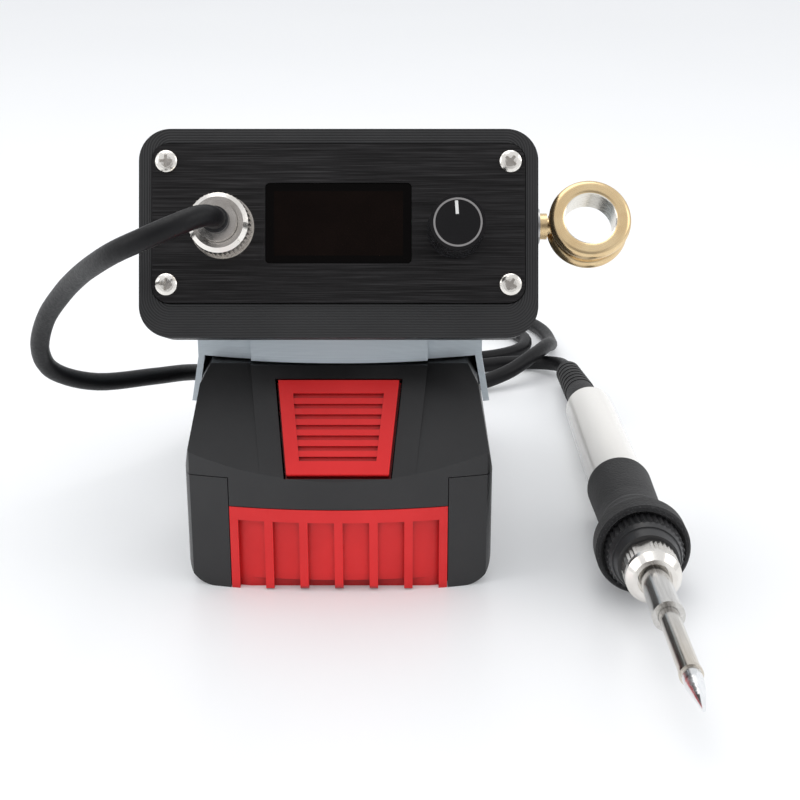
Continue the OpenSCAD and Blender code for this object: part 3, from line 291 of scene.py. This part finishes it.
def tones(tree, value, *stops):
    """Colours along the value, each stop a place and a colour."""
    ramp = node(tree, "ShaderNodeValToRGB", {0: value})
    while len(ramp.color_ramp.elements) < len(stops):
        ramp.color_ramp.elements.new(0.5)
    for element, (at, colour) in zip(ramp.color_ramp.elements, stops):
        element.position = at
        element.color = (*colour, 1)
    return ramp.outputs[0]


def blend_colours(tree, share, first, second):
    """Two colours mixed by a share."""
    made = node(tree, "ShaderNodeMix", data_type="RGBA")
    for index, value in ((0, share), (6, first), (7, second)):
        if isinstance(value, bpy.types.NodeSocket):
            tree.links.new(value, made.inputs[index])
        elif index == 0:
            made.inputs[index].default_value = value
        else:
            made.inputs[index].default_value = (*value, 1)
    return made.outputs[2]


def relief(tree, shader, height, depth):
    """A bump of that depth in metres on the shader, over any bump already there."""
    bump = node(tree, "ShaderNodeBump", {"Height": height, "Distance": depth, "Strength": 1.0})
    links = shader.inputs["Normal"].links
    if links:
        tree.links.new(links[0].from_socket, bump.inputs["Normal"])
    tree.links.new(bump.outputs[0], shader.inputs["Normal"])


def drive(tree, shader, socket, value):
    """The value into the shader's socket."""
    tree.links.new(value, shader.inputs[socket])


def axis_part(tree, vector, axis):
    """One of the vector's three parts."""
    return node(tree, "ShaderNodeSeparateXYZ", {0: vector}).outputs[axis]


def lines(tree, value, pitch):
    """Round-topped lines a pitch apart along the value, from 0 to 1."""
    turned = math_node(tree, "MULTIPLY", value, 2 * math.pi / pitch)
    return spread(tree, math_node(tree, "SINE", turned), -1, 1)


def from_axis(tree, centre, way):
    """The distance from a line through the centre, and the distance along it."""
    coords = node(tree, "ShaderNodeTexCoord").outputs["Object"]
    moved = vector_node(tree, "SUBTRACT", coords, tuple(centre))
    along = dot_node(tree, moved, tuple(way))
    scaled = node(tree, "ShaderNodeVectorMath", {0: tuple(way), "Scale": along}, operation="SCALE")
    on_line = scaled.outputs[0]
    distance = length_node(tree, vector_node(tree, "SUBTRACT", moved, on_line))
    return distance, along


# ---------- Materials ----------


def moulded(name, low, high, roughness, depth=0.012 * MM, gloss_change=0.08, specular=0.5):
    """Moulded plastic: a fine spark-eroded grain, and slow changes of tone and gloss."""
    material, tree, shader = start_material(name, roughness, specular=specular)
    spot = place(tree)
    slow = noise(tree, spot, 45, 4)
    drive(tree, shader, "Base Color", tones(tree, slow, (0.35, low), (0.65, high)))
    fine = noise(tree, spot, 1600, 2)
    mixed = mixture(tree, slow, 0.7, fine)
    gloss = spread(tree, mixed, 0.35, 0.65, roughness - gloss_change, roughness + gloss_change)
    drive(tree, shader, "Roughness", gloss)
    relief(tree, shader, fine, depth)
    return material


def red_rubber():
    """Bright red moulded rubber, with painted shade darkening its pockets."""
    material, tree, shader = start_material("red_rubber", 0.36, specular=0.45)
    spot = place(tree)
    slow = noise(tree, spot, 60, 4)
    plain = tones(tree, slow, (0.3, (0.74, 0.012, 0.014)), (0.7, (0.84, 0.020, 0.022)))
    # Painted shade: ambient occlusion pulls the red towards a deep red in the pockets and creases.
    shade = node(tree, "ShaderNodeAmbientOcclusion", {"Distance": 5 * MM}, samples=8).outputs["AO"]
    openness = spread(tree, shade, 0.05, 0.75)
    drive(tree, shader, "Base Color", blend_colours(tree, openness, (0.30, 0.003, 0.005), plain))
    fine = noise(tree, spot, 1500, 2)
    drive(tree, shader, "Roughness", spread(tree, fine, 0.3, 0.7, 0.30, 0.46))
    relief(tree, shader, fine, 0.010 * MM)
    return material


def brushed_black():
    """Black anodised aluminium, brushed from side to side."""
    material, tree, shader = start_material("brushed_black_panel", 0.36, metallic=0.75)
    fine = noise(tree, place(tree, (60, 60, 6500), BOX_TURN, PANEL_MIDDLE), 1.0, 4, 0.6)
    wide = noise(tree, place(tree, (22, 22, 1500), BOX_TURN, PANEL_MIDDLE), 1.0, 3, 0.6)
    both = mixture(tree, fine, 0.65, wide)
    valley, plain, ridge = (0.010, 0.010, 0.010), (0.022, 0.021, 0.022), (0.060, 0.058, 0.060)
    drive(tree, shader, "Base Color", tones(tree, both, (0.34, valley), (0.50, plain), (0.66, ridge)))
    drive(tree, shader, "Roughness", spread(tree, both, 0.35, 0.65, 0.26, 0.52))
    relief(tree, shader, both, 0.012 * MM)
    shader.inputs["Anisotropic"].default_value = 0.5
    return material


def display_glass():
    """A black glass window with the display's dark area faintly behind it."""
    material, tree, shader = start_material("display_glass", 0.05, specular=0.12)
    spot = place(tree, turn=BOX_TURN, centre=PANEL_MIDDLE)
    across = math_node(tree, "ABSOLUTE", axis_part(tree, spot, 0))
    up = math_node(tree, "ABSOLUTE", axis_part(tree, spot, 2))
    inside = math_node(tree, "MULTIPLY", math_node(tree, "LESS_THAN", across, DISPLAY_HALF_WIDTH),
                       math_node(tree, "LESS_THAN", up, DISPLAY_HALF_HEIGHT))
    faint = noise(tree, spot, 90, 3)
    field = tones(tree, faint, (0.3, (0.0030, 0.0014, 0.0010)), (0.7, (0.0060, 0.0030, 0.0022)))
    drive(tree, shader, "Base Color", blend_colours(tree, inside, (0.0016, 0.0012, 0.0012), field))
    drive(tree, shader, "Roughness", spread(tree, noise(tree, spot, 240, 3), 0.4, 0.7, 0.03, 0.07))
    return material


def printed_grey():
    """Pale printed plastic with level lines one above another."""
    material, tree, shader = start_material("printed_grey", 0.46, specular=0.4)
    spot = place(tree)
    wander = math_node(tree, "MULTIPLY", noise(tree, spot, 60, 2), 0.10 * MM)
    level = math_node(tree, "ADD", axis_part(tree, spot, 2), wander)
    ridge = lines(tree, level, 0.32 * MM)
    uneven = noise(tree, place(tree, (25, 25, 3200)), 1.0, 2)
    tone = mixture(tree, ridge, 0.5, uneven)
    low, high = (0.50, 0.565, 0.615), (0.64, 0.705, 0.75)
    drive(tree, shader, "Base Color", tones(tree, tone, (0.25, low), (0.75, high)))
    drive(tree, shader, "Roughness", spread(tree, uneven, 0.3, 0.7, 0.38, 0.54))
    relief(tree, shader, ridge, 0.05 * MM)
    relief(tree, shader, noise(tree, spot, 900, 2), 0.01 * MM)
    return material


def printed_housing():
    """Black print: lines that follow the rim on the front, and level lines along the sides."""
    material, tree, shader = start_material("printed_black", 0.4, specular=0.5)
    low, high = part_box("housing")
    spot = place(tree, turn=BOX_TURN, centre=PANEL_MIDDLE)
    half_x = (high.x - low.x) / 2 - HOUSING_CORNER
    half_z = HOUSING_HALF_HEIGHT - HOUSING_CORNER
    x = math_node(tree, "SUBTRACT", axis_part(tree, spot, 0), (low.x + high.x) / 2 - PANEL_MIDDLE.x)
    x_out = math_node(tree, "ABSOLUTE", x)
    z_out = math_node(tree, "ABSOLUTE", axis_part(tree, spot, 2))
    beyond_x = math_node(tree, "MAXIMUM", math_node(tree, "SUBTRACT", x_out, half_x), 0.0)
    beyond_z = math_node(tree, "MAXIMUM", math_node(tree, "SUBTRACT", z_out, half_z), 0.0)
    corner = node(tree, "ShaderNodeCombineXYZ", {0: beyond_x, 1: beyond_z}).outputs[0]
    rings = lines(tree, length_node(tree, corner), 0.62 * MM)
    levels = lines(tree, axis_part(tree, spot, 1), 0.3 * MM)
    facing = node(tree, "ShaderNodeTexCoord").outputs["Normal"]
    on_front = spread(tree, dot_node(tree, facing, tuple(-BOX_INTO)), 0.6, 0.9)
    ridge = node(tree, "ShaderNodeMix", {0: on_front, 2: levels, 3: rings}, data_type="FLOAT").outputs[0]
    slow = noise(tree, spot, 70, 3)
    tone = mixture(tree, ridge, 0.6, slow)
    dark, light = (0.006, 0.006, 0.007), (0.022, 0.022, 0.023)
    drive(tree, shader, "Base Color", tones(tree, tone, (0.25, dark), (0.75, light)))
    drive(tree, shader, "Roughness", spread(tree, slow, 0.3, 0.7, 0.34, 0.48))
    relief(tree, shader, ridge, 0.06 * MM)
    return material


def bright_metal(name, low, high, roughness):
    """Plated or polished metal with a faint grain and slow stains."""
    material, tree, shader = start_material(name, roughness, metallic=1.0)
    spot = place(tree)
    slow = noise(tree, spot, 160, 4)
    drive(tree, shader, "Base Color", tones(tree, slow, (0.3, low), (0.7, high)))
    fine = noise(tree, spot, 700, 3)
    drive(tree, shader, "Roughness", spread(tree, fine, 0.3, 0.7, roughness - 0.06, roughness + 0.06))
    relief(tree, shader, fine, 0.004 * MM)
    return material


def holder_brass():
    """Light satin brass, turned on a lathe, with a bright bore."""
    material, tree, shader = start_material("holder_brass", 0.26, metallic=1.0)
    distance, along = from_axis(tree, RING_MIDDLE, RING_WAY)
    streak = noise(tree, node(tree, "ShaderNodeCombineXYZ", {0: distance, 1: along}).outputs[0], 2600, 3)
    slow = noise(tree, place(tree), 140, 3)
    gold = tones(tree, slow, (0.3, (0.70, 0.50, 0.27)), (0.7, (0.82, 0.64, 0.38)))
    bore = math_node(tree, "LESS_THAN", distance, RING_BORE + 0.25 * MM)
    drive(tree, shader, "Base Color", blend_colours(tree, bore, gold, (0.80, 0.76, 0.68)))
    drive(tree, shader, "Roughness", spread(tree, streak, 0.3, 0.7, 0.18, 0.36))
    relief(tree, shader, streak, 0.012 * MM)
    return material


def white_handle():
    """Glossy warm white plastic with very faint flow marks."""
    material, tree, shader = start_material("white_handle", 0.16, specular=0.5)
    flow = noise(tree, place(tree, (90, 14, 90)), 1.0, 3)
    low, high = (0.84, 0.82, 0.78), (0.88, 0.865, 0.83)
    drive(tree, shader, "Base Color", tones(tree, flow, (0.3, low), (0.7, high)))
    fine = noise(tree, place(tree), 900, 3)
    drive(tree, shader, "Roughness", spread(tree, fine, 0.3, 0.7, 0.12, 0.24))
    relief(tree, shader, flow, 0.05 * MM)
    return material


def foam_grip(name, speck):
    """Black foam rubber: tiny open cells with pale specks."""
    material, tree, shader = start_material(name, 0.82, specular=0.3)
    spot = place(tree)
    cells = node(tree, "ShaderNodeTexVoronoi", {"Vector": spot, "Scale": 1500}).outputs["Distance"]
    fine = noise(tree, spot, 2600, 3, 0.6)
    slow = noise(tree, spot, 90, 3)
    base = tones(tree, slow, (0.3, (0.010, 0.010, 0.011)), (0.7, (0.022, 0.022, 0.023)))
    specks = spread(tree, fine, 0.58, 0.74, 0.0, speck)
    drive(tree, shader, "Base Color", blend_colours(tree, specks, base, (0.20, 0.20, 0.20)))
    drive(tree, shader, "Roughness", spread(tree, fine, 0.3, 0.7, 0.70, 0.92))
    relief(tree, shader, cells, 0.10 * MM)
    relief(tree, shader, fine, 0.05 * MM)
    shader.inputs["Sheen Weight"].default_value = 0.12
    shader.inputs["Sheen Roughness"].default_value = 0.5
    return material


def tip_steel():
    """Polished steel, drawn along its length, with a warm heat tint towards the tip."""
    material, tree, shader = start_material("tip_steel", 0.2, metallic=1.0)
    along = from_axis(tree, IRON_REAR, IRON_WAY)[1]
    drawn = noise(tree, place(tree, (1500, 60, 1500)), 1.0, 3)
    heat = spread(tree, along, HEAT_TINT_FROM, HEAT_TINT_TO)
    plain = tones(tree, drawn, (0.3, (0.56, 0.55, 0.53)), (0.7, (0.72, 0.71, 0.69)))
    straw = tones(tree, drawn, (0.3, (0.60, 0.52, 0.42)), (0.7, (0.74, 0.66, 0.54)))
    tint = math_node(tree, "MULTIPLY", heat, 0.6)
    drive(tree, shader, "Base Color", blend_colours(tree, tint, plain, straw))
    drive(tree, shader, "Roughness", spread(tree, drawn, 0.3, 0.7, 0.12, 0.28))
    relief(tree, shader, drawn, 0.01 * MM)
    return material


def tinned():
    """A tinned bit: bright, slightly lumpy solder."""
    material, tree, shader = start_material("tinned_bit", 0.24, metallic=1.0)
    spot = place(tree)
    lumps = noise(tree, spot, 420, 3)
    low, high = (0.78, 0.79, 0.80), (0.92, 0.93, 0.94)
    drive(tree, shader, "Base Color", tones(tree, lumps, (0.3, low), (0.7, high)))
    drive(tree, shader, "Roughness", spread(tree, lumps, 0.3, 0.7, 0.16, 0.34))
    relief(tree, shader, lumps, 0.06 * MM)
    return material


def circuit_board():
    """Green board with its tracks showing through the coating."""
    material, tree, shader = start_material("circuit_board", 0.3, specular=0.5)
    brick = node(tree, "ShaderNodeTexBrick", {
        "Vector": place(tree, turn=(math.pi / 2, 0, 0)), "Scale": 90, "Mortar Size": 0.03,
        "Color1": (0.010, 0.085, 0.030, 1), "Color2": (0.014, 0.11, 0.040, 1),
        "Mortar": (0.03, 0.19, 0.07, 1)})
    drive(tree, shader, "Base Color", brick.outputs[0])
    drive(tree, shader, "Roughness", spread(tree, noise(tree, place(tree), 300, 2), 0.3, 0.7, 0.24, 0.40))
    relief(tree, shader, brick.outputs[1], -0.03 * MM)
    return material


def cord_black():
    """Satin black cable jacket with a faint drawn grain and dust."""
    material, tree, shader = start_material("cord_jacket", 0.46, specular=0.22)
    spot = place(tree)
    slow = noise(tree, spot, 55, 4)
    low, high = (0.004, 0.004, 0.005), (0.008, 0.008, 0.009)
    drive(tree, shader, "Base Color", tones(tree, slow, (0.3, low), (0.7, high)))
    fine = noise(tree, spot, 1400, 3)
    drive(tree, shader, "Roughness", spread(tree, fine, 0.3, 0.7, 0.38, 0.54))
    relief(tree, shader, fine, 0.02 * MM)
    relief(tree, shader, slow, 0.15 * MM)
    return material


def make_materials():
    """Every material slot of the record, by name."""
    black = ((0.009, 0.009, 0.010), (0.017, 0.017, 0.018))
    dark = ((0.014, 0.014, 0.015), (0.028, 0.028, 0.030))
    return {
        "black_shell": moulded("black_shell", *black, 0.37, specular=0.55),
        "red_soft": red_rubber(),
        "spring_steel": bright_metal("spring_steel", (0.45, 0.45, 0.46), (0.60, 0.60, 0.61), 0.24),
        "black_screw": bright_metal("black_screw", (0.03, 0.03, 0.03), (0.06, 0.06, 0.06), 0.34),
        "cell_sleeve": moulded("cell_sleeve", (0.02, 0.16, 0.13), (0.03, 0.22, 0.18), 0.28),
        "nickel_strip": bright_metal("nickel_strip", (0.62, 0.60, 0.56), (0.74, 0.72, 0.68), 0.24),
        "dark_plastic": moulded("dark_plastic", *dark, 0.42),
        "green_board": circuit_board(),
        "contact_brass": bright_metal("contact_brass", (0.70, 0.54, 0.26), (0.80, 0.64, 0.34), 0.22),
        "printed_grey": printed_grey(),
        "printed_black": printed_housing(),
        "black_aluminium": brushed_black(),
        "nickel": bright_metal("nickel", (0.80, 0.77, 0.72), (0.92, 0.89, 0.85), 0.20),
        "black_glass": display_glass(),
        "component": moulded("component", *dark, 0.32),
        "red_lead": moulded("red_lead", (0.35, 0.010, 0.010), (0.45, 0.015, 0.015), 0.4),
        "grey_metal": bright_metal("grey_metal", (0.42, 0.42, 0.42), (0.55, 0.55, 0.55), 0.3),
        "knob_black": moulded("knob_black", (0.004, 0.004, 0.005), (0.009, 0.009, 0.010), 0.16,
                              depth=0.003 * MM, gloss_change=0.05),
        "knob_chrome": bright_metal("knob_chrome", (0.78, 0.78, 0.79), (0.90, 0.90, 0.91), 0.10),
        "pointer_white": moulded("pointer_white", (0.80, 0.80, 0.79), (0.88, 0.88, 0.87), 0.3),
        "holder_brass": holder_brass(),
        "white_handle": white_handle(),
        "black_grip": foam_grip("black_grip", 0.5),
        "collar_black": moulded("collar_black", *dark, 0.40, specular=0.55),
        "tip_steel": tip_steel(),
        "tin": tinned(),
        "ceramic": moulded("ceramic", (0.74, 0.72, 0.66), (0.82, 0.80, 0.75), 0.6),
        "cord_black": cord_black(),
    }


def dress(materials):
    """Each CAD node gets its slot's material, and the boot its own rubber."""
    for part in frame["record"]["subparts"]:
        mesh = cad[part["node"]].data
        mesh.materials.clear()
        mesh.materials.append(materials[part["material_slot"]])
    cad["boot"].data.materials[0] = foam_grip("boot_rubber", 0.1)


# ---------- Floor and light ----------

FLOOR_HALF = 6
FLOOR_GLOW = 0.14
ROOM_STRENGTH = 0.88


def floor_material():
    """Cool near-white, a little glossy."""
    material, tree, shader = start_material("pale_floor", 0.30, specular=0.35)
    slow = noise(tree, place(tree), 3, 2)
    low, high = (0.80, 0.81, 0.82), (0.82, 0.83, 0.84)
    drive(tree, shader, "Base Color", tones(tree, slow, (0.3, low), (0.7, high)))
    shader.inputs["Emission Color"].default_value = (0.95, 0.97, 1.0, 1)
    shader.inputs["Emission Strength"].default_value = FLOOR_GLOW
    return material


def make_floor():
    """A wide floor under the pack."""
    shape = bmesh.new()
    bmesh.ops.create_grid(shape, x_segments=2, y_segments=2, size=FLOOR_HALF)
    mesh = bpy.data.meshes.new("floor")
    shape.to_mesh(mesh)
    shape.free()
    floor = bpy.data.objects.new("floor", mesh)
    bpy.context.scene.collection.objects.link(floor)
    mesh.materials.append(floor_material())


def softbox(name, at, aim, size, power):
    """A square area light that faces a point."""
    data = bpy.data.lights.new(name, "AREA")
    data.shape = "SQUARE"
    data.size = size
    data.energy = power
    data.color = (1.0, 0.985, 0.97)
    light = bpy.data.objects.new(name, data)
    light.location = at
    light.rotation_euler = (Vector(aim) - Vector(at)).to_track_quat("-Z", "Y").to_euler()
    bpy.context.scene.collection.objects.link(light)


def make_light():
    """A pale room with a darker patch behind the viewer, and three softboxes."""
    world = bpy.data.worlds.new("studio")
    bpy.context.scene.world = world
    world.use_nodes = True
    tree = world.node_tree
    way = node(tree, "ShaderNodeTexCoord").outputs["Generated"]
    viewer = (0, -math.cos(CAMERA_DOWN), math.sin(CAMERA_DOWN))
    room = tones(tree, dot_node(tree, way, viewer), (0.90, (0.95, 0.96, 0.98)), (0.975, (0.34, 0.33, 0.33)))
    tree.links.new(room, tree.nodes["Background"].inputs["Color"])
    tree.nodes["Background"].inputs["Strength"].default_value = ROOM_STRENGTH
    softbox("key_above", at=(-0.15, 0.15, 0.9), aim=(0, 0, 0.03), size=0.8, power=3)
    softbox("left_side", at=(-0.8, -0.25, 0.45), aim=(0, 0, 0.05), size=0.5, power=1.2)
    softbox("right_side", at=(0.8, -0.15, 0.5), aim=(0, 0, 0.05), size=0.5, power=1.2)
    bpy.context.scene.view_settings.view_transform = "Standard"


# ---------- The whole ----------

set_camera()
cord = make_cord()
materials = make_materials()
cord.data.materials.append(materials["cord_black"])
dress(materials)
make_floor()
make_light()
